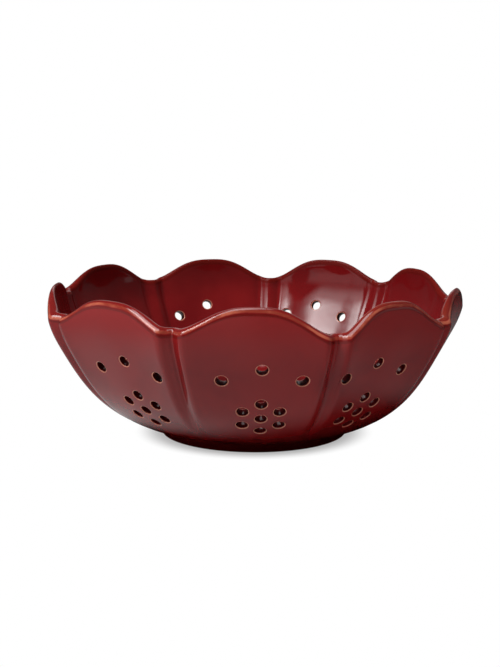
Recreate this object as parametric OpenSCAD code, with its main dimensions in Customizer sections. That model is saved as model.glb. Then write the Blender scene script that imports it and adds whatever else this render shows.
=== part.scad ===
// Berry colander bowl: a petal-shaped stoneware bowl on a low foot, pierced with drain holes.
// Frame: +Z up, the table is z = 0, the bowl's axis is the Z axis and petal 1 faces -Y.
// Lengths are in millimetres, angles in degrees.

/* [Rim] */
// Number of petals round the bowl
petal_count = 9; // [7:1:11]
// Height of the petal tips above the table
tip_h = 72.5; // [68:0.5:80]
// Height of the rim where two petals meet
valley_h = 62.2; // [58:0.1:66]
// Fullness of a petal's arch: 1 is a plain wave, more makes a broader tip
arch = 1.5; // [1:0.1:2.5]
// Width of the level stretch where two petals meet
valley_w = 4; // [1:0.5:12]
// Height of the rounded lip that tops the wall
lip_rise = 4.5; // [2.5:0.1:6]

/* [Wall] */
// Thickness of the wall and of the floor
wall_t = 4.5; // [3.5:0.1:6]
// Outer radius of the round belly, seen in section
belly_r = 54.5; // [48:0.5:60]
// Slope of the straight flare above the belly, from level
flare_angle = 64.5; // [58:0.5:70]
// Length of the straight flare
flare_len = 24; // [16:0.5:28]
// Outer radius of the curl that stands the petal tips upright, seen in section
curl_r = 20.5; // [16:0.5:60]

/* [Petals] */
// How far to the right of the bowl's axis the petals were centred when they were pressed by hand
petal_shift = 4; // [0:0.5:6]
// How much further out a petal's shoulders stand than its middle, at the rim
shoulder_out = 5; // [2:0.1:8]
// Width of the flute between two petals on the outside, at the rim
flute_w = 11; // [7:0.5:14]
// Depth of that flute below the shoulders, at the rim
flute_deep = 3; // [1.5:0.1:4.5]
// Width of the rib that the flute raises on the inside, at the rim
rib_w = 15; // [12:0.5:20]
// Distance up the wall over which shoulders, flutes and ribs grow to full size
fade_len = 76; // [60:1:90]

/* [Foot] */
// Outer radius of the foot ring at the table
foot_r = 44; // [40:0.5:48]
// Radial width of the foot ring at the table
foot_w = 5; // [3.5:0.5:8]
// Outward lean of the foot ring's outer side, from upright
foot_lean = 16; // [0:1:25]
// Size of the small bevel on the foot ring's edges at the table
foot_bevel = 0.8; // [0.3:0.1:1.2]
// Height of the floor's flat underside above the table
foot_h = 2.6; // [2:0.1:5]
// Radius of the floor's flat middle
flat_r = 34; // [28:0.5:38]
// Ledge from the foot ring's top edge out to the roots of the petals
ledge = 2.5; // [1.5:0.5:6]

/* [Drain holes] */
// Diameter of every drain hole
hole_d = 5; // [3:0.1:6]
// Distance of the upper row's middle hole up the wall from the petal's root
row_up = 61; // [56:0.5:64]
// Distance between neighbouring holes of the upper row
row_gap = 16.5; // [12:0.5:20]
// How much lower the upper row's two side holes sit
row_drop = 5.5; // [0:0.5:8]
// Distance of the hole flower's middle hole up the wall from the petal's root
flower_up = 34; // [28:0.5:40]
// Radius of the circle on which the flower's outer holes lie
flower_r = 9; // [7:0.1:10]
// Number of outer holes in the flower
flower_count = 6; // [4:1:6]

/* [Hidden] */

// The holes were pierced by hand: how far right of its petal's middle each petal's holes sit, from
// petal 1 round, as a share of half a petal
hole_swing = [0.13, -0.18, 0, 0, 0.13, 0.1, 0, 0, 0.17];

// Fired red glaze, as seen on the outside and on the darker foot
glaze = [0.44, 0.16, 0.15];
foot_glaze = [0.24, 0.06, 0.06];

// Smoothness: facets of true circles, steps across a petal, across half a flute, up the wall
// and over the rounded lip, an odd number
$fn = 96;
face_steps = 13;
flute_steps = 4;
wall_steps = 13;
lip_steps = 7;

// Length by which the petals' raw lower end runs past the joint, and reach of the tools that trim it
overrun = 1;
// Step for measuring the direction in which a wall faces
probe = 0.01;

// Plan angles of a petal, measured from its middle
half_angle = 180 / petal_count;
rim_r = flat_r + belly_r * sin(flare_angle) + flare_len * cos(flare_angle) + shoulder_out;
shoulder_angle = half_angle - to_degrees(flute_w / 2, rim_r);
rib_angle = half_angle - to_degrees(rib_w / 2, rim_r);
valley_angle = half_angle - to_degrees(valley_w / 2, rim_r);
sway = to_degrees(petal_shift, rim_r);

// Section of the wall: a round belly, a straight flare and a curl at the top
belly_c = [flat_r, foot_h + belly_r];
foot_top = foot_h + wall_t;
joint_r = foot_r + foot_top * tan(foot_lean) + ledge;
joint_angle = asin((joint_r - flat_r) / belly_r);
belly_len = belly_r * (flare_angle - joint_angle) * PI / 180;
curl_start = belly_len + flare_len;
curl_c = arc_point(belly_c, belly_r, flare_angle) + flare_len * along(flare_angle)
    + curl_r * inward(flare_angle);

function to_degrees(length, radius) = length / radius * 180 / PI;
function smooth(x) = let (u = min(max(x, 0), 1)) u * u * (3 - 2 * u);

// Directions in the section plane, as [out, up], for a wall of a given slope
function along(slope) = [cos(slope), sin(slope)];
function inward(slope) = [-sin(slope), cos(slope)];
function arc_point(centre, radius, slope) = centre - radius * inward(slope);

// Slope of the wall at distance s up from the petal's root
function slope_at(s) =
    s < belly_len ? joint_angle + to_degrees(s, belly_r)
    : flare_angle + to_degrees(max(s - curl_start, 0), curl_r);

// Point of the section at distance s up the wall and a given depth in from the outer face
function section_point(s, depth) =
    s < curl_start
    ? arc_point(belly_c, belly_r - depth, slope_at(s))
        + max(s - belly_len, 0) * along(flare_angle)
    : arc_point(curl_c, curl_r - depth, slope_at(s));

// How far petal shoulders push out, and flutes or ribs push in, at plan angle phi
function spread(phi) = shoulder_out * pow(phi / shoulder_angle, 2);
function dent(phi, edge) =
    abs(phi) < edge ? 0
    : (spread(half_angle) - shoulder_out + flute_deep)
        * (1 - cos(180 * (abs(phi) - edge) / (half_angle - edge))) / 2;
function push(phi, inside) = spread(phi) - dent(phi, inside ? rib_angle : shoulder_angle);

// Point of the outer or inner face in the section plane at plan angle phi, as [out, up]
function face_point(s, phi, inside) =
    section_point(s, inside ? wall_t : 0) + [smooth(s / fade_len) * push(phi, inside), 0];

// Height of the rim at plan angle phi, and the distance up the wall at which its lip starts
function rim_h(phi) =
    tip_h - (tip_h - valley_h) * smooth(pow(min(abs(phi) / valley_angle, 1), arch));
function lip_start(phi) =
    let (
        core = wall_t / 2,
        mid_h = rim_h(phi) - lip_rise,
        flare_top_h = section_point(curl_start, core)[1]
    )
    mid_h < flare_top_h
    ? curl_start - (flare_top_h - mid_h) / sin(flare_angle)
    : curl_start
        + (acos((curl_c[1] - mid_h) / (curl_r - core)) - flare_angle) * PI / 180 * curl_r;

// Point of the rounded lip, turned by angle turn from the outer face to the inner one
function lip_point(phi, turn) =
    let (
        outer = face_point(lip_start(phi), phi, false),
        inner = face_point(lip_start(phi), phi, true),
        half = (outer - inner) / 2
    )
    inner + half + half * cos(turn) + [-half[1], half[0]] * sin(turn) * lip_rise / norm(half);

// From the section plane to space, where turn is the angle from the front of an even bowl: pressed
// about a centre beside the axis, the petals are a little wider on one side than on the other
function place(p, turn) =
    let (a = turn + sway * cos(turn))
    [p[0] * sin(a), -p[0] * cos(a), p[1]];

// Closed loop of points round the wall: up the outside, over the lip, down the inside
function wall_loop(middle, phi) =
    let (
        run = lip_start(phi) + overrun,
        outside = [for (i = [0 : wall_steps]) face_point(run * i / wall_steps - overrun, phi, false)],
        lip = [for (i = [1 : lip_steps - 1]) lip_point(phi, 180 * i / lip_steps)],
        inside = [for (i = [wall_steps : -1 : 0]) face_point(run * i / wall_steps - overrun, phi, true)]
    )
    [for (p = concat(outside, lip, inside)) place(p, middle + phi)];

// Plan angles of the loops: close together in the flutes, wider apart on the petal's face
flute_angles = [for (i = [0 : flute_steps - 1])
    half_angle - (half_angle - shoulder_angle) * i / flute_steps];
loop_angles = concat(
    -flute_angles,
    [for (i = [0 : face_steps]) shoulder_angle * (2 * i / face_steps - 1)],
    [for (i = [flute_steps - 1 : -1 : 0]) flute_angles[i]]
);

// One petal as a closed skin: bands between neighbouring loops and a flat cap at each side
module petal_shell(middle) {
    loops = [for (phi = loop_angles) wall_loop(middle, phi)];
    size = len(loops[0]);
    last = (len(loops) - 1) * size;
    bands = [
        for (start = [0 : size : last - size], i = [0 : size - 1])
            let (a = start + i, b = start + (i + 1) % size)
            each [[a, b, b + size], [a, b + size, a + size]]
    ];
    caps = [
        for (i = [0 : size / 2 - 2])
            let (a = i, b = i + 1, c = size - 2 - i, d = size - 1 - i)
            each [[a, c, b], [a, d, c], [last + a, last + b, last + c], [last + a, last + c, last + d]]
    ];
    polyhedron(points = [for (loop = loops) each loop], faces = concat(bands, caps));
}

// Point on the outer face in space, and the direction in which the face looks there
function outer_point(middle, s, phi) = place(face_point(s, phi, false), middle + phi);
function outer_normal(middle, s, phi) =
    let (
        up = outer_point(middle, s + probe, phi) - outer_point(middle, s - probe, phi),
        across = outer_point(middle, s, phi + probe) - outer_point(middle, s, phi - probe),
        n = cross(across, up)
    )
    n / norm(n);

// Hole bored square to the wall, up the wall by s and aside of the holes' middle line at angle swing
module drain_hole(middle, swing, s, aside) {
    phi = swing + to_degrees(aside, face_point(s, 0, false)[0]);
    n = outer_normal(middle, s, phi);
    translate(outer_point(middle, s, phi))
        rotate([0, acos(n[2]), atan2(n[1], n[0])])
            cylinder(d = hole_d, h = 4 * wall_t, center = true);
}

// The ten holes of a petal: a row of three above a flower of seven
module drain_holes(middle, swing) {
    drain_hole(middle, swing, row_up, 0);
    for (side = [-1, 1]) drain_hole(middle, swing, row_up - row_drop, side * row_gap);
    drain_hole(middle, swing, flower_up, 0);
    for (i = [0 : flower_count - 1]) {
        turn = 360 * i / flower_count;
        drain_hole(middle, swing, flower_up + flower_r * cos(turn), flower_r * sin(turn));
    }
}

// Half section that ends at the petals' roots, on the line square to the wall
module joint_half() {
    reach = belly_r + overrun;
    polygon([
        [0, belly_c[1]],
        belly_c,
        belly_c - reach * inward(joint_angle),
        [0, belly_c[1] - reach]
    ]);
}

module petal(index) {
    middle = (index - 1) * 2 * half_angle;
    swing = half_angle * hole_swing[(index - 1) % len(hole_swing)];
    color(glaze)
        difference() {
            petal_shell(middle);
            rotate_extrude() joint_half();
            drain_holes(middle, swing);
        }
}

// Floor of the bowl, flat in the middle and turning up to the petals' roots
module floor_disc() {
    color(glaze)
        rotate_extrude()
            intersection() {
                joint_half();
                union() {
                    translate([0, foot_h]) square([flat_r, wall_t]);
                    difference() {
                        translate(belly_c) circle(belly_r);
                        translate(belly_c) circle(belly_r - wall_t);
                        translate([0, foot_h + wall_t]) square([flat_r, 2 * belly_r]);
                    }
                }
            }
}

// Foot ring under the floor: its top follows the floor's underside
module foot_ring() {
    inner_r = foot_r - foot_w;
    lean = tan(foot_lean);
    color(foot_glaze)
        rotate_extrude()
            difference() {
                polygon([
                    [inner_r, foot_bevel],
                    [inner_r + foot_bevel, 0],
                    [foot_r - foot_bevel, 0],
                    [foot_r + foot_bevel * lean, foot_bevel],
                    [foot_r + foot_top * lean, foot_top],
                    [inner_r, foot_top]
                ]);
                translate(belly_c) circle(belly_r);
                translate([0, foot_h]) square([flat_r, belly_r]);
            }
}

for (i = [1 : petal_count])
    petal(i);
floor_disc();
foot_ring();
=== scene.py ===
from bisect import bisect
from math import asin, atan2, copysign, cos, exp, pi, radians, sin, tan

import bmesh
import bpy
from mathutils import Matrix, Vector
from mathutils.kdtree import KDTree


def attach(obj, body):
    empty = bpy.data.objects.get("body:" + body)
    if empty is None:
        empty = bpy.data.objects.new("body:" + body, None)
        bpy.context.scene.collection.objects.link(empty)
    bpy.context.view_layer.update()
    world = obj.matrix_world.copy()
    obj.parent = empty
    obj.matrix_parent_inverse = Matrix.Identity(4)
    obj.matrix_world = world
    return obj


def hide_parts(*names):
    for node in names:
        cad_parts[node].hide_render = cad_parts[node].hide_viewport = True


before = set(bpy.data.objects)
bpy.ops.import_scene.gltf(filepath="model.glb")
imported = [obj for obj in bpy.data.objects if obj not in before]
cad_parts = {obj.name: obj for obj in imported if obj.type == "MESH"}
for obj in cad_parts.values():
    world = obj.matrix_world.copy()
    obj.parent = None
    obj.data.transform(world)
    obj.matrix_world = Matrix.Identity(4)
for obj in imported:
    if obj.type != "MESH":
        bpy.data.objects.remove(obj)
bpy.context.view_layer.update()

# The wall: stoneware thrown as a round bowl, then pressed by hand into nine petals with a flute
# between each pair. It is one casting with the floor and the foot. Sizes are in metres. A point of it
# is given by turn, the plan angle from the front, rise, the distance up the wall, and depth.
petal_count = 9
wall_t = 0.0045
flat_r = 0.034
belly_r = 0.0545
flare = radians(64.5)
flare_len = 0.024
curl_r = 0.0205
curl_len = 0.0105
rib_reach = 0.020
rib_samples = 9
shoulder_out = 0.005
flute_w = 0.011
flute_deep = 0.003
rib_w = 0.011
fade_len = 0.076
petal_shift = 0.004
foot_r = 0.044
foot_h = 0.0026
foot_lean = radians(16)
ledge = 0.0025

half = pi / petal_count
rim_r = flat_r + belly_r * sin(flare) + flare_len * cos(flare) + shoulder_out
shoulder_turn = half - flute_w / 2 / rim_r
rib_turn = half - rib_w / 2 / rim_r
sway = petal_shift / rim_r
root_r = foot_r + (foot_h + wall_t) * tan(foot_lean) + ledge
root_slope = asin((root_r - flat_r) / belly_r)
flat_rise = -belly_r * root_slope
belly_rise = belly_r * (flare - root_slope)
curl_rise = belly_rise + flare_len


def smooth(x):
    share = min(max(x, 0), 1)
    return share * share * (3 - 2 * share)


def along(slope):
    return Vector((cos(slope), sin(slope)))


def bend(rise):
    """Slope of the wall's section: a round belly, a straight flare and a curl in to the lip."""
    if rise < belly_rise:
        return root_slope + rise / belly_r
    return flare + min(max(rise - curl_rise, 0), curl_len) / curl_r


def slope_at(rise):
    """The same slope once the potter's rib has eased one curve into the next."""
    reach = rib_reach * smooth(rise / rib_reach)
    shares = [i / (rib_samples - 1) - 0.5 for i in range(rib_samples)]
    return sum(bend(rise + reach * share) for share in shares) / rib_samples


section_step = 0.0005
section_count = 320
section = [Vector((flat_r, foot_h))]
while len(section) < section_count:
    middle_rise = flat_rise + section_step * (len(section) - 0.5)
    section.append(section[-1] + section_step * along(slope_at(middle_rise)))


def section_point(rise, depth):
    """Point of the wall's section, out from the axis and up, at a depth in from the outer face."""
    if rise < flat_rise:
        return Vector((flat_r + rise - flat_rise, foot_h + depth))
    step = int((rise - flat_rise) / section_step)
    share = (rise - flat_rise) / section_step - step
    slope = slope_at(rise)
    return section[step].lerp(section[step + 1], share) + depth * Vector((-sin(slope), cos(slope)))


# The potter's thumbs have bowed each petal out towards its flutes, more sharply on the inside
outer_bow = 2.6
inner_bow = 8
inner_out = 0.0024
rib_high = 0.0026
rib_ease = 1.6


def spread(aside, bow):
    """0 in a petal's middle and 1 at its shoulder, bowed by a power."""
    return (abs(aside) / shoulder_turn) ** bow


def outer_push(aside):
    """How far the outer face stands out at an angle aside of its petal's middle, at the rim."""
    past = max(abs(aside) - shoulder_turn, 0) / (half - shoulder_turn)
    deep = shoulder_out * (spread(half, outer_bow) - 1) + flute_deep
    return shoulder_out * spread(aside, outer_bow) - deep * (1 - cos(pi * past)) / 2


def inner_push(aside):
    """The same for the inner face, where each flute shows as a rib."""
    past = max(abs(aside) - rib_turn, 0) / (half - rib_turn)
    out = inner_out * spread(min(abs(aside), rib_turn), inner_bow)
    return out - rib_high * (1 - max(1 - past, 0) ** rib_ease)


# The flutes were pressed by eye, so some stand off their even places
flute_swing = (0.06, 0, 0, 0, 0, 0, 0, 0, 0.016)


def flute_turn(flute):
    return (2 * flute + 1 + flute_swing[flute % petal_count]) * half


def petal_at(turn):
    petal = round(turn / (2 * half))
    return petal + (turn > flute_turn(petal)) - (turn < flute_turn(petal - 1))


def petal_aside(turn):
    """Plan angle off the middle of a petal, as if the petals were even."""
    right = flute_turn(petal_at(turn))
    left = flute_turn(petal_at(turn) - 1)
    return half * (2 * (turn - left) / (right - left) - 1)


def flute_at(turn):
    return (petal_at(turn) - (petal_aside(turn) < 0)) % petal_count


# The petals at the sides lean, one end out and the other in, and one has its middle tucked in.
# lean_most makes each lean the most that its petal stands out.
petal_lean = (0, 0, 0.0014, 0, 0, 0, 0, 0.0018, 0)
petal_tuck = (0, 0, 0, 0, 0, 0, 0, 0.0009, 0)
lean_most = 2.6


def lean_push(turn):
    aside = petal_aside(turn) / half
    petal = petal_at(turn) % petal_count
    middle = 1 - aside ** 2
    return middle * (lean_most * petal_lean[petal] * aside - petal_tuck[petal] * middle)


# A pointed tool has drawn a fine crease down each flute's outside and raised a burr beside it. The
# creases start and end at different heights, and their upper ends drop more than their lower ones.
crease_w = 0.0007
crease_deep = 0.0007
burr_high = 0.35
burr_away = 2.2
crease_low = 0.034
crease_high = 0.090
crease_fade = 0.014
crease_drop = (0.016, 0.006, 0.006, 0.006, 0.006, 0.006, 0.006, 0.006, 0)
upper_drop = 1.7


def crease(turn, rise):
    drop = crease_drop[flute_at(turn)]
    away = (half - abs(petal_aside(turn))) * rim_r / crease_w
    cut = exp(-away * away) - burr_high * exp(-(away - burr_away) ** 2)
    lower_end = smooth((rise - crease_low + drop) / crease_fade)
    upper_end = smooth((crease_high - upper_drop * drop - rise) / crease_fade)
    return crease_deep * cut * lower_end * upper_end


# The wall thins towards the lip
lip_thin = 0.0018
thin_low = 0.012
thin_len = 0.074


def face_point(turn, rise, inside):
    """Point of the inner or the outer face, out from the axis and up."""
    aside = petal_aside(turn)
    share = smooth(rise / fade_len)
    if inside:
        depth = wall_t - lip_thin * smooth((rise - thin_low) / thin_len)
        push = share * (inner_push(aside) + lean_push(turn))
    else:
        depth = 0
        push = share * (outer_push(aside) + lean_push(turn)) - crease(turn, rise)
    return section_point(rise, depth) + Vector((push, 0))


def place(point, turn):
    angle = turn + sway * cos(turn)
    return Vector((point.x * sin(angle), -point.x * cos(angle), point.y))


def wall_point(turn, rise, depth):
    """Point in space, where depth goes from 0 on the outer face to 1 on the inner one."""
    return place(face_point(turn, rise, False).lerp(face_point(turn, rise, True), depth), turn)


# The lip: the wall's top edge, cut into a wave by hand and wiped with a wet sponge, so that its top
# slopes outwards between two rounded edges. Each petal's arch is highest in its middle.
tip_h = 0.0725
valley_h = 0.0622
valley_w = 0.004
arch = 1.5
lip_rise = 0.0045
lip_slope = 0.18
lip_round = 0.82

# The wave was cut by eye: some tips and valleys stand higher than others and some tips to one side
tip_up = (0.0011, 0.0008, -0.0008, 0.0011, 0.0012, 0.0008, 0.0018, 0, 0.0004)
tip_swing = (0, -0.08, 0, 0.15, 0, 0, 0, 0, 0.04)
valley_up = (0, 0, 0.001, 0.0018, 0.0007, 0.0015, 0.003, 0.001, 0.0022)
valley_turn = half - valley_w / 2 / rim_r

middle_heights = [
    section_point(flat_rise + section_step * i, wall_t / 2).y for i in range(len(section) - 1)
]


def lip_start(turn):
    """Distance up the wall at which the lip's rounding starts."""
    petal = petal_at(turn) % petal_count
    aside = petal_aside(turn)
    aside -= tip_swing[petal] * half * (1 - (aside / half) ** 2)
    share = min(abs(aside) / valley_turn, 1)
    top_h = tip_h + tip_up[petal]
    drop = top_h - valley_h - valley_up[flute_at(turn)]
    middle_h = top_h - drop * smooth(share ** arch) - lip_rise
    step = bisect(middle_heights, middle_h)
    low_h = middle_heights[step - 1]
    past = (middle_h - low_h) / (middle_heights[step] - low_h)
    return flat_rise + section_step * (step - 1 + past)


def lip_point(turn, roll):
    """Point of the lip, where roll goes from 0 at the outer face to pi at the inner one."""
    outer = face_point(turn, lip_start(turn), False)
    inner = face_point(turn, lip_start(turn), True)
    reach = (outer - inner) / 2
    across = copysign(abs(cos(roll)) ** lip_round, cos(roll))
    up = abs(sin(roll)) ** lip_round * (1 - lip_slope - lip_slope * across)
    crest = Vector((-reach.y, reach.x)) * lip_rise / reach.length
    return place(inner + reach + reach * across + crest * up, turn)


# The drain holes: pierced through the leather-hard clay by hand, ten to a petal, so some groups sit a
# little off their petal's middle or higher. Glaze has drawn back from their rounded mouths.
hole_r = 0.0025
mouth_round = 0.0005
mouth_flat = 0.0004
row_up = 0.061
row_gap = 0.0165
row_drop = 0.0055
flower_up = 0.034
flower_r = 0.009
flower_count = 6
hole_swing = (0.13, -0.18, 0, 0, 0.13, 0.1, 0, 0, 0.17)
hole_up = (0, 0, 0, 0, 0.0012, 0.0010, 0, 0, 0)

hole_spots = [(0, row_up), (-row_gap, row_up - row_drop), (row_gap, row_up - row_drop), (0, flower_up)]
for i in range(flower_count):
    spoke = 2 * pi * i / flower_count
    hole_spots.append((flower_r * sin(spoke), flower_up + flower_r * cos(spoke)))

# The unrolled wall is a grid whose columns run up the petals, closer together in the flutes, and
# whose rows run round the bowl from the floor's middle to the lip. On a petal's face the columns are
# as far apart as if half a petal held even_columns of them.
face_columns = 10
flute_columns = 10
hole_columns = 7
even_columns = 13.5
columns = 2 * (face_columns + flute_columns)
column_step = half / even_columns
crease_crowd = 1.9
swing_ease = 1.5
root_rows = 5
flower_rows = 12
upper_rows = 12
radius_rows = 4
flower_step = flower_r / radius_rows
flower_low = flower_up - flower_rows // 2 * flower_step
flower_high = flower_up + flower_rows // 2 * flower_step
foot_w = 0.005
foot_top_r = 0.0453
foot_radii = (foot_r - foot_w, foot_top_r)
floor_radii = (0, 0.005, 0.012, 0.02, 0.028, flat_r)


def rise_at(radius):
    """Distance up the wall's outer face at a radius of the floor or the belly."""
    if radius < flat_r:
        return flat_rise + radius - flat_r
    return belly_r * (asin((radius - flat_r) / belly_r) - root_slope)


foot_rises = [rise_at(radius) for radius in foot_radii]
floor_rises = [rise_at(radius) for radius in floor_radii] + foot_rises
last_row = len(floor_rises) + root_rows + flower_rows + upper_rows


def column_turn(column, petal):
    """Plan angle of a column counted from its petal's middle: holes and creases take theirs along."""
    aside = min(abs(column), face_columns) * column_step
    to_crease = 1 - max(abs(column) - face_columns, 0) / flute_columns
    aside += (half - face_columns * column_step) * (1 - to_crease ** crease_crowd)
    holes_end = hole_columns * column_step
    beyond = (max(aside - holes_end, 0) / (half - holes_end)) ** swing_ease
    flute = petal if column > 0 else petal - 1
    swing = hole_swing[petal] * (1 - beyond) + flute_swing[flute] * beyond
    return copysign(aside, column) + half * swing


def row_rise(row, turn):
    if row < len(floor_rises):
        return floor_rises[row]
    row -= len(floor_rises)
    if row < root_rows:
        return flower_low * row / root_rows
    row -= root_rows
    if row < flower_rows:
        return flower_low + flower_step * row
    return flower_high + (lip_start(turn) - flower_high) * (row - flower_rows) / upper_rows


bowl_mesh = bmesh.new()
turn_of = bowl_mesh.verts.layers.float.new("turn")
rise_of = bowl_mesh.verts.layers.float.new("rise")
depth_of = bowl_mesh.verts.layers.float.new("depth")
lip_of = bowl_mesh.verts.layers.float.new("lip")
hole_gap_of = bowl_mesh.verts.layers.float.new("hole_gap")
lip_gap_of = bowl_mesh.verts.layers.float.new("lip_gap")
bmesh.ops.create_grid(bowl_mesh, x_segments=petal_count * columns, y_segments=last_row, size=0.5)
spots = {}
for vert in bowl_mesh.verts:
    column = round((vert.co.x + 0.5) * petal_count * columns)
    row = round((vert.co.y + 0.5) * last_row)
    petal = min(column // columns, petal_count - 1)
    middle = 2 * half * petal
    turn = middle + column_turn(column - columns * petal - columns // 2, petal)
    vert[turn_of] = turn
    vert[rise_of] = row_rise(row, turn)
    vert[lip_of] = row == last_row
    spots[column, row] = vert

holes = []
mouth_r = hole_r + mouth_round
for petal in range(petal_count):
    swing = half * hole_swing[petal]
    for aside, rise in hole_spots:
        rise += hole_up[petal]
        radius = face_point(0, rise, False).x
        turn = swing + aside / radius
        near = range(-face_columns, face_columns + 1)
        column = min(near, key=lambda c: abs(column_turn(c, petal) - turn))
        column += columns * petal + columns // 2
        turn += 2 * half * petal
        row = min(range(last_row), key=lambda r: abs(row_rise(r, turn) - rise))
        holes.append((turn, rise, radius, column, row))

# Nearby grid lines are drawn to each hole's middle, so that its mouth has an even margin
draw_reach = 4
draw_ease = 3
for turn, rise, radius, column, row in holes:
    centre = spots[column, row]
    turn_gap = turn - centre[turn_of]
    rise_gap = rise - centre[rise_of]
    for across in range(-draw_reach, draw_reach + 1):
        for up in range(-draw_reach, draw_reach + 1):
            share = min((draw_reach + 1 - max(abs(across), abs(up))) / draw_ease, 1)
            spots[column + across, row + up][turn_of] += turn_gap * share
            spots[column + across, row + up][rise_of] += rise_gap * share

# Each hole's grid points are cut out, and its square margin grows two rings in to the round mouth
margin_reach = 2
margin_step = pi / 8
for turn, rise, radius, column, row in holes:
    plug = [spots[column + across, row + up] for across in (-1, 0, 1) for up in (-1, 0, 1)]
    bmesh.ops.delete(bowl_mesh, geom=plug, context="VERTS")
    margin = {}
    for across in range(-margin_reach, margin_reach + 1):
        for up in range(-margin_reach, margin_reach + 1):
            if max(abs(across), abs(up)) == margin_reach:
                angle = round(atan2(up, across) / margin_step) * margin_step
                margin[spots[column + across, row + up]] = angle
    edges = {edge for vert in margin for edge in vert.link_edges if edge.other_vert(vert) in margin}
    edges = [edge for edge in edges if edge.is_boundary]
    for reach in (mouth_r + mouth_flat, mouth_r):
        grown = bmesh.ops.extrude_edge_only(bowl_mesh, edges=edges)["geom"]
        edges = [edge for edge in grown if isinstance(edge, bmesh.types.BMEdge) and edge.is_boundary]
        ring = {}
        for vert in grown:
            if isinstance(vert, bmesh.types.BMVert):
                root = next(e.other_vert(vert) for e in vert.link_edges if e.other_vert(vert) in margin)
                ring[vert] = margin[root]
                vert[turn_of] = turn + reach * cos(ring[vert]) / radius
                vert[rise_of] = rise + reach * sin(ring[vert])
        margin = ring

for vert in bowl_mesh.verts:
    vert.co = wall_point(vert[turn_of], vert[rise_of], 0)
bmesh.ops.remove_doubles(bowl_mesh, verts=bowl_mesh.verts[:], dist=1e-6)

# The clay gets its thickness: inner face, walls of the holes and rounded lip
lip_steps = 16
bore_steps = 8
mouth_steps = 3
inner = bmesh.ops.extrude_face_region(bowl_mesh, geom=bowl_mesh.faces[:], use_keep_orig=True)["geom"]
for vert in inner:
    if isinstance(vert, bmesh.types.BMVert):
        vert[depth_of] = 1
through = [edge for edge in bowl_mesh.edges if edge.verts[0][depth_of] != edge.verts[1][depth_of]]
lip_edges = [edge for edge in through if edge.verts[0][lip_of] > 0.5]
bore_edges = [edge for edge in through if edge.verts[0][lip_of] < 0.5]
bmesh.ops.subdivide_edges(bowl_mesh, edges=lip_edges, cuts=lip_steps - 1, use_grid_fill=True)
bmesh.ops.subdivide_edges(bowl_mesh, edges=bore_edges, cuts=bore_steps - 1, use_grid_fill=True)

hole_tree = KDTree(len(holes))
for index, hole in enumerate(holes):
    hole_tree.insert(wall_point(hole[0], hole[1], 0.5), index)
hole_tree.balance()
far_gap = 0.004
for vert in bowl_mesh.verts:
    turn = vert[turn_of]
    rise = vert[rise_of]
    depth = vert[depth_of]
    vert[lip_gap_of] = min(lip_start(turn) - rise, far_gap)
    vert[hole_gap_of] = far_gap
    if vert[lip_of] > 0.5:
        vert.co = lip_point(turn, pi * depth)
        vert[lip_gap_of] = -lip_rise * sin(pi * depth)
        continue
    hole_turn, hole_rise, radius = holes[hole_tree.find(wall_point(turn, rise, 0.5))[1]][:3]
    reach = Vector(((turn - hole_turn) * radius, rise - hole_rise)).length
    vert[hole_gap_of] = min(reach - mouth_r, far_gap)
    if 0 < depth < 1:
        step = round(depth * bore_steps)
        step = min(step, bore_steps - step)
        roll = min(step, mouth_steps) * pi / 2 / mouth_steps
        width = (mouth_r - mouth_round * sin(roll)) / mouth_r
        into = mouth_round * (1 - cos(roll)) / wall_t if step < bore_steps // 2 else 0.5
        turn = hole_turn + (turn - hole_turn) * width
        rise = hole_rise + (rise - hole_rise) * width
        vert[hole_gap_of] = -mouth_round * roll - wall_t * max(into - mouth_round / wall_t, 0)
        depth = into if depth < 0.5 else 1 - into
    vert.co = wall_point(turn, rise, depth)

# The foot ring: turned from the same clay under the floor, leaning outwards as it rises. Its sole is
# wiped clean of glaze before firing, so that it doesn't stick to the kiln shelf.
foot_bevel = 0.0008
foot_cove = 0.0012
rise_slack = 1e-5


def on_ring(vert, ring_rise):
    return vert[depth_of] == 0 and abs(vert[rise_of] - ring_rise) < rise_slack


foot_band = [
    face for face in bowl_mesh.faces
    if all(on_ring(vert, foot_rises[0]) or on_ring(vert, foot_rises[1]) for vert in face.verts)
]
drawn_down = bmesh.ops.extrude_face_region(bowl_mesh, geom=foot_band)["geom"]
sole_verts = {vert for vert in drawn_down if isinstance(vert, bmesh.types.BMVert)}
for vert in sole_verts:
    vert.co.z = 0
    if on_ring(vert, foot_rises[1]):
        vert.co.xy *= foot_r / vert.co.xy.length
sole_edges = [
    edge for edge in bowl_mesh.edges
    if edge.verts[0] in sole_verts and edge.verts[1] in sole_verts
    and abs(edge.verts[0][rise_of] - edge.verts[1][rise_of]) < rise_slack
]
cove_edges = [
    edge for edge in bowl_mesh.edges
    if all(on_ring(vert, foot_rises[1]) and vert not in sole_verts for vert in edge.verts)
]
bmesh.ops.bevel(
    bowl_mesh, geom=sole_edges, offset=foot_bevel, segments=3, profile=0.5, affect="EDGES", material=-1
)
bmesh.ops.bevel(
    bowl_mesh, geom=cove_edges, offset=foot_cove, segments=4, profile=0.5, affect="EDGES", material=-1
)
for vert in bowl_mesh.verts:
    vert.co.z = max(vert.co.z, 0)
bmesh.ops.recalc_face_normals(bowl_mesh, faces=bowl_mesh.faces[:])
for face in bowl_mesh.faces:
    face.smooth = True

bowl_data = bpy.data.meshes.new("glazed_bowl")
bowl_mesh.to_mesh(bowl_data)
bowl_mesh.free()
bowl = bpy.data.objects.new("glazed_bowl", bowl_data)
bpy.context.scene.collection.objects.link(bowl)
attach(bowl, "root")
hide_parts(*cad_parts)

# The glaze: one glossy deep red coat, fired on. It runs off the lip and the holes' mouths and breaks to
# orange-brown there, and is darker on the floor inside. It is wiped off the foot's sole, which is
# bare clay.
glaze = bpy.data.materials.new("red_glaze")
glaze.use_nodes = True


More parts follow.
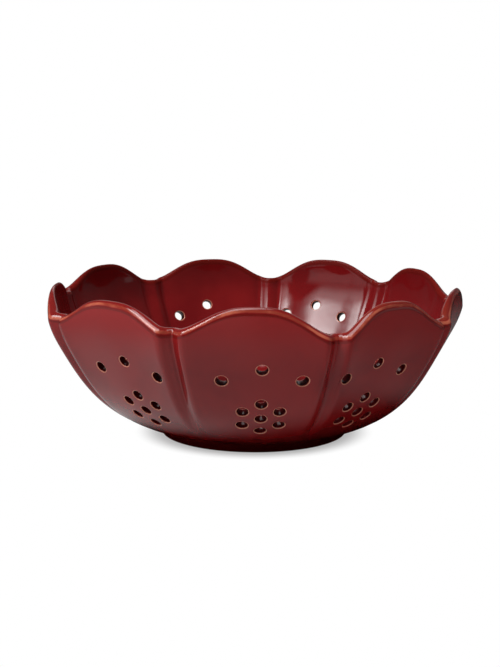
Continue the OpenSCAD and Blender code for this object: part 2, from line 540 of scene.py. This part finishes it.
def add_node(tree, kind, sockets, **settings):
    """Adds a node, with each socket set to a value or linked to another node's output."""
    made = tree.nodes.new("ShaderNode" + kind)
    for name, value in settings.items():
        setattr(made, name, value)
    for name, value in sockets.items():
        if isinstance(value, bpy.types.NodeSocket):
            tree.links.new(value, made.inputs[name])
        else:
            made.inputs[name].default_value = value
    return made


def reckon(tree, operation, *values):
    return add_node(tree, "Math", dict(enumerate(values)), operation=operation).outputs["Value"]


def ramp(tree, value, start, end):
    """0 before start and 1 past end, or the other way round where end is the smaller one."""
    sockets = {"Value": value, "From Min": start, "From Max": end}
    return add_node(tree, "MapRange", sockets, interpolation_type="SMOOTHSTEP").outputs["Result"]


def reading(layer):
    return add_node(glaze.node_tree, "Attribute", {}, attribute_name=layer).outputs["Fac"]


def cloud(scale, detail):
    sockets = {"Vector": bowl_place, "Scale": scale, "Detail": detail}
    return add_node(glaze.node_tree, "TexNoise", sockets).outputs["Fac"]


def coat(share, under, over):
    """Lays one colour over another. A Mix node's colours share their names, so they go by number."""
    sockets = {0: share, 6: under, 7: over}
    return add_node(glaze.node_tree, "Mix", sockets, data_type="RGBA").outputs[2]


def melt(value, start, end):
    return ramp(glaze.node_tree, value, start, end)


def blend(operation, *values):
    return reckon(glaze.node_tree, operation, *values)


deep_red = (0.158, 0.0048, 0.0062, 1)
thin_red = (0.205, 0.0078, 0.0086, 1)
upper_painted_light_red = (0.25, 0.0090, 0.0098, 1)
foot_red = (0.20, 0.0080, 0.0090, 1)
inner_floor_red = (0.045, 0.0018, 0.0024, 1)
break_brown = (0.26, 0.033, 0.020, 1)
lip_shade_red = (0.11, 0.0045, 0.0036, 1)
wiped_brown = (0.22, 0.028, 0.014, 1)
back_lip_shade_brown = (0.10, 0.0080, 0.0055, 1)
break_orange = (0.46, 0.108, 0.062, 1)
ring_break_highlight = (0.52, 0.205, 0.135, 1)
bare_clay = (0.33, 0.21, 0.14, 1)
edge_wander = 0.16
sponge_least = 0.2
sponge_more = 0.6
under_lip_shade_share = 0.7
back_lip_shade_share = 0.6
coat_rough = 0.06
break_rough = 0.03
clay_rough = 0.7

bowl_place = add_node(glaze.node_tree, "TexCoord", {}).outputs["Object"]
bowl_sides = add_node(glaze.node_tree, "SeparateXYZ", {"Vector": bowl_place}).outputs
height = bowl_sides["Z"]
lip_gap = reading("lip_gap")
hole_gap = reading("hole_gap")
wall_depth = reading("depth")

# The coat is uneven all over, has painted light high on the outside, and is darker on the floor inside.
# Heights and gaps are in metres, and wall_depth runs from 0 outside to 1 inside.
colour = coat(melt(cloud(30, 3), 0.35, 0.65), deep_red, thin_red)
colour = coat(melt(height, 0.012, 0.002), colour, foot_red)
inner_floor_dark = blend("MULTIPLY", melt(height, 0.018, 0.010), melt(wall_depth, 0.5, 0.9))
colour = coat(inner_floor_dark, colour, inner_floor_red)
# Painted light: the upper outside is a brighter red, standing in for light from the front.
upper_painted_light = blend("MULTIPLY", melt(height, 0.042, 0.066), melt(wall_depth, 0.5, 0.1))
colour = coat(upper_painted_light, colour, upper_painted_light_red)

# The lip's top was sponged thinnest on the front right. A darker red band of painted shade lies under
# its outer edge, which has broken to orange, and its back half has painted shade in dark brown. drift
# is wall_depth with the wander of these bands.
drift = blend("MULTIPLY_ADD", cloud(120, 3), edge_wander, wall_depth)
lip_top = blend("MULTIPLY", melt(drift, 0.40, 0.55), melt(drift, 0.98, 0.85))
lip_top = blend("MULTIPLY", lip_top, melt(lip_gap, -0.0005, -0.0015))
wiped = blend("MULTIPLY", melt(bowl_sides["X"], 0.03, 0.07), melt(bowl_sides["Y"], -0.02, -0.05))
wiped = blend("MULTIPLY_ADD", wiped, sponge_more, sponge_least)
colour = coat(blend("MULTIPLY", lip_top, wiped), colour, wiped_brown)
# Painted shade: a darker red band just under the lip's outer edge.
under_lip_painted_shade = blend("MULTIPLY", melt(drift, 0.27, 0.20), melt(lip_gap, 0.0000, -0.0008))
colour = coat(blend("MULTIPLY", under_lip_painted_shade, under_lip_shade_share), colour, lip_shade_red)
outer_edge = blend("MULTIPLY", melt(drift, 0.23, 0.30), melt(drift, 0.46, 0.38))
lip_break = blend("MULTIPLY", outer_edge, melt(lip_gap, -0.0005, -0.0010))
lip_worn = coat(melt(cloud(75, 4), 0.40, 0.62), break_brown, break_orange)
colour = coat(lip_break, colour, lip_worn)
# Painted shade: the back half of the lip is darkened to a dark brown.
back_lip_painted_shade = blend("MULTIPLY", melt(bowl_sides["Y"], 0.00, 0.04), melt(lip_gap, -0.0003, -0.0012))
colour = coat(blend("MULTIPLY", back_lip_painted_shade, back_lip_shade_share), colour, back_lip_shade_brown)

# A thin pale orange ring round each hole's mouth is glaze break and painted highlight, and bare clay
# shows under the foot
hole_ring_break_highlight = blend("MULTIPLY", melt(hole_gap, 0.0000, -0.0002), melt(hole_gap, -0.0007, -0.0004))
colour = coat(hole_ring_break_highlight, colour, ring_break_highlight)
bare_sole = melt(height, 0.0004, 0.0002)
colour = coat(bare_sole, colour, bare_clay)

# The coat is glossy, a little rougher where it has broken, and lies in faint waves
gloss = blend("MULTIPLY_ADD", lip_break, break_rough, coat_rough)
gloss = blend("MULTIPLY_ADD", bare_sole, clay_rough, gloss)
wave = add_node(glaze.node_tree, "Bump", {"Height": cloud(70, 2), "Strength": 0.06, "Distance": 0.002})
grain = add_node(glaze.node_tree, "Bump", {
    "Height": blend("MULTIPLY", cloud(500, 2), lip_break),
    "Strength": 0.02,
    "Distance": 0.0002,
    "Normal": wave.outputs["Normal"],
})
shader = glaze.node_tree.nodes["Principled BSDF"]
shader.inputs["IOR"].default_value = 1.42
glaze.node_tree.links.new(colour, shader.inputs["Base Color"])
glaze.node_tree.links.new(gloss, shader.inputs["Roughness"])
glaze.node_tree.links.new(grain.outputs["Normal"], shader.inputs["Normal"])
bowl_data.materials.append(glaze)

# Inside the holes the coat is dull, and its dark colour is painted shade
bore_painted_shade_glaze = bpy.data.materials.new("painted_shade_bore_glaze")
bore_painted_shade_glaze.use_nodes = True
bore_shader = bore_painted_shade_glaze.node_tree.nodes["Principled BSDF"]
bore_shader.inputs["Base Color"].default_value = (0.034, 0.0014, 0.0018, 1)
bore_shader.inputs["Roughness"].default_value = 0.16
bore_shader.inputs["Specular IOR Level"].default_value = 0.12
bowl_data.materials.append(bore_painted_shade_glaze)

# The back half of the lip was sponged drier than the front, and has little shine
dry_glaze = glaze.copy()
dry_glaze.name = "dry_glaze"
dry_glaze.node_tree.nodes["Principled BSDF"].inputs["Specular IOR Level"].default_value = 0.06
bowl_data.materials.append(dry_glaze)

# Each face takes the coat that lies on it
bore_slot = 1
dry_slot = 2
bore_depth = -0.0007
dry_edge = -0.0003
dry_back = 0.02
hole_gaps = [item.value for item in bowl_data.attributes["hole_gap"].data]
lip_gaps = [item.value for item in bowl_data.attributes["lip_gap"].data]
for polygon in bowl_data.polygons:
    if max(hole_gaps[i] for i in polygon.vertices) < bore_depth:
        polygon.material_index = bore_slot
    elif polygon.center.y > dry_back and max(lip_gaps[i] for i in polygon.vertices) < dry_edge:
        polygon.material_index = dry_slot


# The studio: a sheet of white paper in a dim room, under softboxes. The bowl's shadow shows pale round
# its foot, and past it the paper runs into the white of the backdrop.
def stage_piece(name, mesh, material):
    data = bpy.data.meshes.new(name)
    mesh.to_mesh(data)
    mesh.free()
    data.materials.append(material)
    piece = bpy.data.objects.new(name, data)
    bpy.context.scene.collection.objects.link(piece)
    return piece


shade_r = 0.044
shade_white = 0.45
white_r = 0.058
shade_middle = (0.03, -0.01, 0)
room_r = 2.5
room_gap = 0.001

paper = bpy.data.materials.new("white_paper")
paper.use_nodes = True
sheet = paper.node_tree
sheet_shader = sheet.nodes["Principled BSDF"]
sheet_shader.inputs["Base Color"].default_value = (0.66, 0.65, 0.63, 1)
sheet_shader.inputs["Roughness"].default_value = 0.9
sheet_shader.inputs["Specular IOR Level"].default_value = 0
sheet_place = add_node(sheet, "TexCoord", {}).outputs["Object"]
ray = add_node(sheet, "LightPath", {}).outputs
sheet_r = add_node(sheet, "VectorMath", {0: sheet_place}, operation="LENGTH").outputs["Value"]
sheet_sides = add_node(sheet, "SeparateXYZ", {"Vector": sheet_place}).outputs


def dim(value, start, end, first, last):
    """first before start and last past end, with a smooth change between them."""
    sockets = {"Value": value, "From Min": start, "From Max": end, "To Min": first, "To Max": last}
    return add_node(sheet, "MapRange", sockets, interpolation_type="SMOOTHSTEP").outputs["Result"]


past_shade = dim(sheet_r, shade_r, white_r, shade_white, 1)

# In the gloss the paper glows with painted light, brightest on the left where the lamps are, with a
# painted shadow of the bowl
from_shade = {0: sheet_place, 1: shade_middle}
shade_gap = add_node(sheet, "VectorMath", from_shade, operation="DISTANCE").outputs["Value"]
painted_gloss_light = dim(sheet_sides["X"], -0.1, 0.12, 0.8, 0.3)
for share in (
    dim(sheet_r, 0.12, 0.25, 1, 0.75),
    dim(sheet_sides["Y"], -0.2, 0.1, 1.15, 0.75),
    dim(sheet_sides["Y"], 0.1, 0.4, 1, 0.15),
    ramp(sheet, shade_gap, 0.045, 0.075),
    ramp(sheet, sheet_r, 0.050, 0.075),
):
    painted_gloss_light = reckon(sheet, "MULTIPLY", painted_gloss_light, share)
mirrored = reckon(sheet, "MAXIMUM", ray["Is Glossy Ray"], ray["Is Transmission Ray"])
white_share = reckon(sheet, "MULTIPLY_ADD", ray["Is Camera Ray"], past_shade, mirrored)
white = add_node(sheet, "Emission", {"Strength": reckon(sheet, "MAXIMUM", ray["Is Camera Ray"], painted_gloss_light)})
sheet_mix = add_node(sheet, "MixShader", {
    0: white_share, 1: sheet_shader.outputs["BSDF"], 2: white.outputs["Emission"]
})
sheet.links.new(sheet_mix.outputs["Shader"], sheet.nodes["Material Output"].inputs["Surface"])
floor_mesh = bmesh.new()
bmesh.ops.create_circle(floor_mesh, cap_ends=True, segments=64, radius=2 * room_r)
stage_piece("studio_floor", floor_mesh, paper)

# The room's dim walls and ceiling, out of the picture, are what the gloss shows above the table
room_paint = bpy.data.materials.new("dim_wall")
room_paint.use_nodes = True
room_shader = room_paint.node_tree.nodes["Principled BSDF"]
room_shader.inputs["Base Color"].default_value = (0.06, 0.06, 0.06, 1)
room_shader.inputs["Roughness"].default_value = 1
room_shader.inputs["Emission Color"].default_value = (1, 1, 1, 1)
room_shader.inputs["Emission Strength"].default_value = 0.08
room_mesh = bmesh.new()
bmesh.ops.create_uvsphere(room_mesh, u_segments=48, v_segments=24, radius=room_r)
geometry = room_mesh.verts[:] + room_mesh.edges[:] + room_mesh.faces[:]
bmesh.ops.bisect_plane(
    room_mesh, geom=geometry, plane_co=(0, 0, room_gap), plane_no=(0, 0, 1), clear_inner=True
)
bmesh.ops.reverse_faces(room_mesh, faces=room_mesh.faces[:])
stage_piece("dim_room", room_mesh, room_paint).visible_camera = False

backdrop = bpy.data.worlds.new("white_backdrop")
backdrop.use_nodes = True
backdrop.node_tree.nodes["Background"].inputs["Color"].default_value = (1, 1, 1, 1)
backdrop.node_tree.nodes["Background"].inputs["Strength"].default_value = 1
bpy.context.scene.world = backdrop


def softbox(name, bearing, lift, reach, width, length, radiance, side_fade, end_fade):
    """A lamp that faces the bowl, radiance times as bright as a white sheet, and dims to its edges."""
    way = Vector((sin(bearing) * cos(lift), -cos(bearing) * cos(lift), sin(lift)))
    lamp_data = bpy.data.lights.new(name, "AREA")
    lamp_data.shape = "RECTANGLE"
    lamp_data.size = width
    lamp_data.size_y = length
    lamp_data.energy = pi * width * length * radiance
    lamp_data.use_nodes = True
    tree = lamp_data.node_tree
    spot = add_node(tree, "NewGeometry", {}).outputs["Parametric"]
    lamp_sides = add_node(tree, "SeparateXYZ", {"Vector": spot}).outputs
    across = ramp(tree, reckon(tree, "PINGPONG", lamp_sides["X"], 0.5), 0, side_fade)
    up = ramp(tree, reckon(tree, "PINGPONG", lamp_sides["Y"], 0.5), 0, end_fade)
    tree.links.new(reckon(tree, "MULTIPLY", across, up), tree.nodes["Emission"].inputs["Strength"])
    lamp = bpy.data.objects.new(name, lamp_data)
    aim = (-way).to_track_quat("-Z", "Y").to_matrix().to_4x4()
    lamp.matrix_world = Matrix.Translation(reach * way) @ aim
    lamp.visible_camera = False
    bpy.context.scene.collection.objects.link(lamp)


softbox("key_softbox", radians(-59), radians(51), 1.3, 0.6, 0.62, 14, 0.25, 0.5)
softbox("low_softbox", radians(-55), radians(40), 1.3, 0.7, 1.1, 3.4, 0.25, 0.5)
softbox("top_softbox", radians(-30), radians(74), 1.6, 1.2, 1.2, 6.8, 0.2, 0.2)
softbox("back_card", radians(180), radians(35), 1.4, 1.6, 0.9, 0.9, 0.2, 0.3)
softbox("front_card", radians(-48), radians(12), 1.2, 0.66, 0.62, 0.75, 0.1, 0.4)
softbox("left_card", radians(-82), radians(8), 1.2, 0.8, 0.34, 0.4, 0.1, 0.1)
softbox("right_card", radians(82), radians(5), 1.2, 0.6, 0.22, 0.4, 0.1, 0.1)

# The camera: a step back from the front petal and a little above the rim
camera_spot = (0.02836, -0.57981, 0.1436)
camera_turn = radians(3)
camera_dip = radians(9.48)
camera_roll = radians(0.16)
camera_data = bpy.data.cameras.new("camera")
camera_data.sensor_fit = "VERTICAL"
camera_data.sensor_height = 36
camera_data.lens = 66.6
camera = bpy.data.objects.new("camera", camera_data)
camera.matrix_world = (
    Matrix.Translation(camera_spot)
    @ Matrix.Rotation(camera_turn, 4, "Z")
    @ Matrix.Rotation(pi / 2 - camera_dip, 4, "X")
    @ Matrix.Rotation(camera_roll, 4, "Z")
)
bpy.context.scene.collection.objects.link(camera)
bpy.context.scene.camera = camera
bpy.context.scene.view_settings.view_transform = "Standard"
